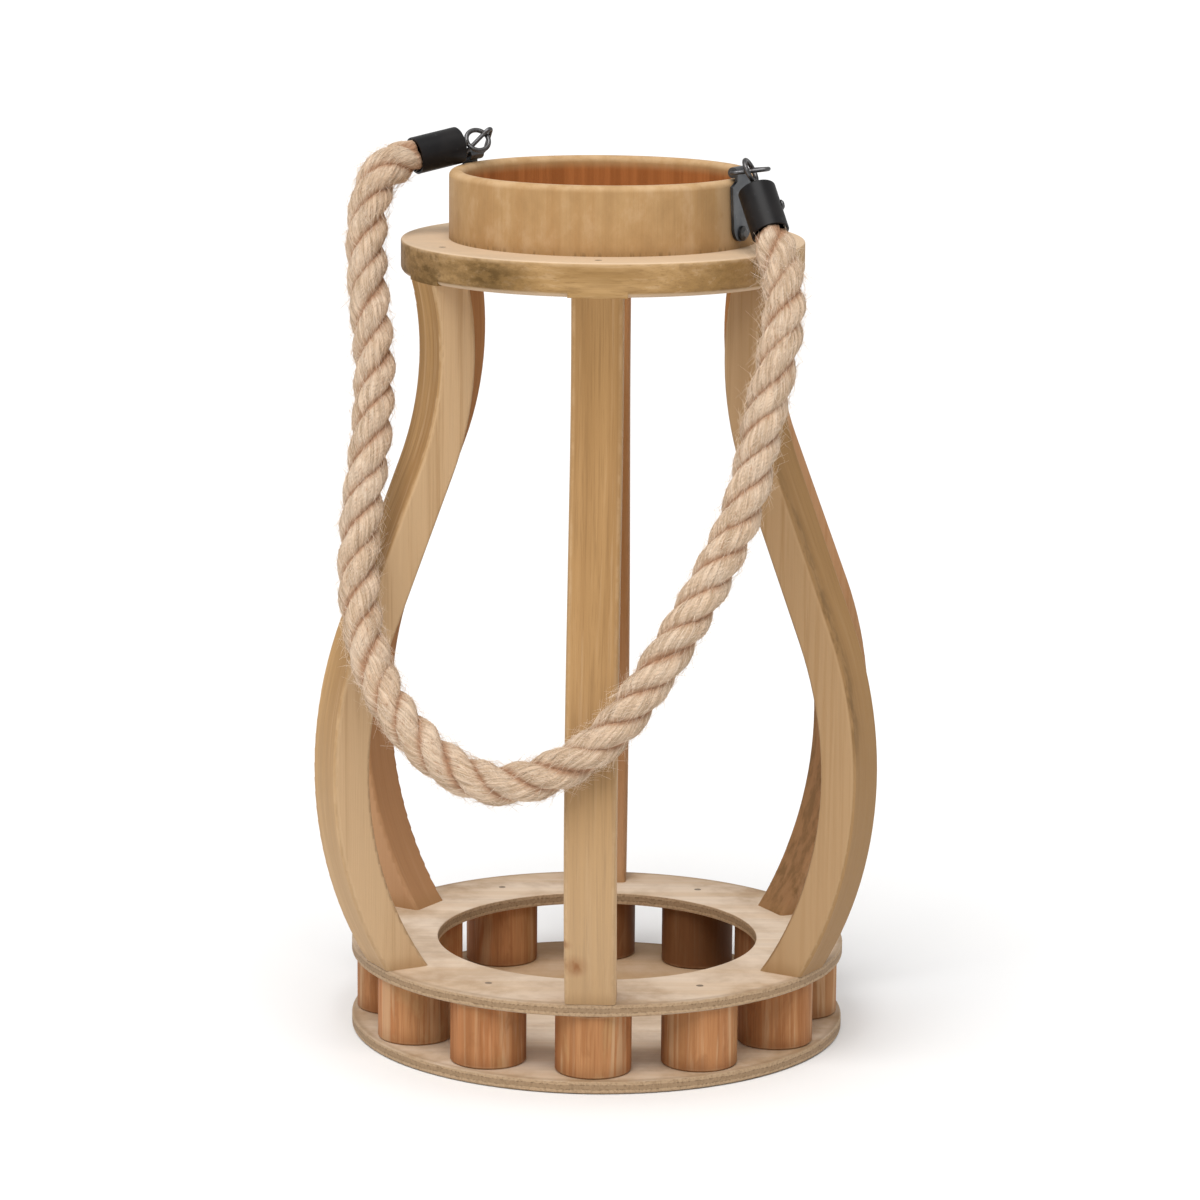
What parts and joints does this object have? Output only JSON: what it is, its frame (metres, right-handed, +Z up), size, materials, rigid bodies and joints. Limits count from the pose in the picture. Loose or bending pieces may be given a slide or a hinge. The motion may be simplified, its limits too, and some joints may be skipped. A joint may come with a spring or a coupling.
{
  "type": "hurricane candle lantern",
  "caption": "Open wooden lantern frame: curved ribs between a pegged plywood base and a ring with a collar, with a jute rope handle on wire links.",
  "frame": {"origin": "centre of the base disc's underside, on the floor", "axes": "+Z up along the lantern's axis, -Y to the picture's camera, +X to the picture's right"},
  "size_m": [0.2238, 0.2611, 0.3631],
  "materials": {
    "plywood": "bare pale plywood, satin",
    "ring_wood": "waxed tan wood, satin",
    "collar_wood": "waxed tan wood with upright grain",
    "peg_wood": "reddish natural wood",
    "rib_wood": "waxed tan wood, softened edges",
    "black_plate": "black plated sheet steel, semi-gloss",
    "black_cap": "black enamel, semi-gloss",
    "wire_steel": "dark steel wire",
    "screw_steel": "zinc steel",
    "brad_steel": "dull steel",
    "jute": "three-strand jute, fuzzy"
  },
  "bodies": {
    "frame": {"base_disc": "plywood", "base_ring": "plywood", "top_ring": "ring_wood", "collar": "collar_wood", "peg_01": "peg_wood", "peg_02": "peg_wood", "peg_03": "peg_wood", "peg_04": "peg_wood", "peg_05": "peg_wood", "peg_06": "peg_wood", "peg_07": "peg_wood", "peg_08": "peg_wood", "peg_09": "peg_wood", "peg_10": "peg_wood", "peg_11": "peg_wood", "peg_12": "peg_wood", "rib_1": "rib_wood", "rib_2": "rib_wood", "rib_3": "rib_wood", "rib_4": "rib_wood", "rib_5": "rib_wood", "rib_6": "rib_wood", "left_plate": "black_plate", "right_plate": "black_plate", "plate_screws": "screw_steel", "foot_screws": "screw_steel", "top_brads": "brad_steel", "upper_brads": "brad_steel", "lower_brads": "brad_steel"},
    "left_link": {"left_link": "wire_steel"},
    "right_link": {"right_link": "wire_steel"},
    "handle": {"rope": "jute", "left_cap": "black_cap", "right_cap": "black_cap", "left_eye": "wire_steel", "right_eye": "wire_steel", "cap_screws": "screw_steel"}
  },
  "joints": [
    {"name": "handle_swing", "type": "hinge", "parent": "frame", "child": "handle", "pos_m": [0.05669, -0.03696, 0.35234], "axis": [-0.8693, 0.4926, 0.0417], "range_deg": [0, 140]},
    {"name": "left_link_flip", "type": "hinge", "parent": "frame", "child": "left_link", "pos_m": [-0.05232, 0.0296, 0.3513], "axis": [0.4924, 0.8704, 0], "range_deg": [-2, 2]},
    {"name": "right_link_flip", "type": "hinge", "parent": "frame", "child": "right_link", "pos_m": [0.05232, -0.0296, 0.3513], "axis": [-0.4924, -0.8704, 0], "range_deg": [-8, 8]}
  ]
}
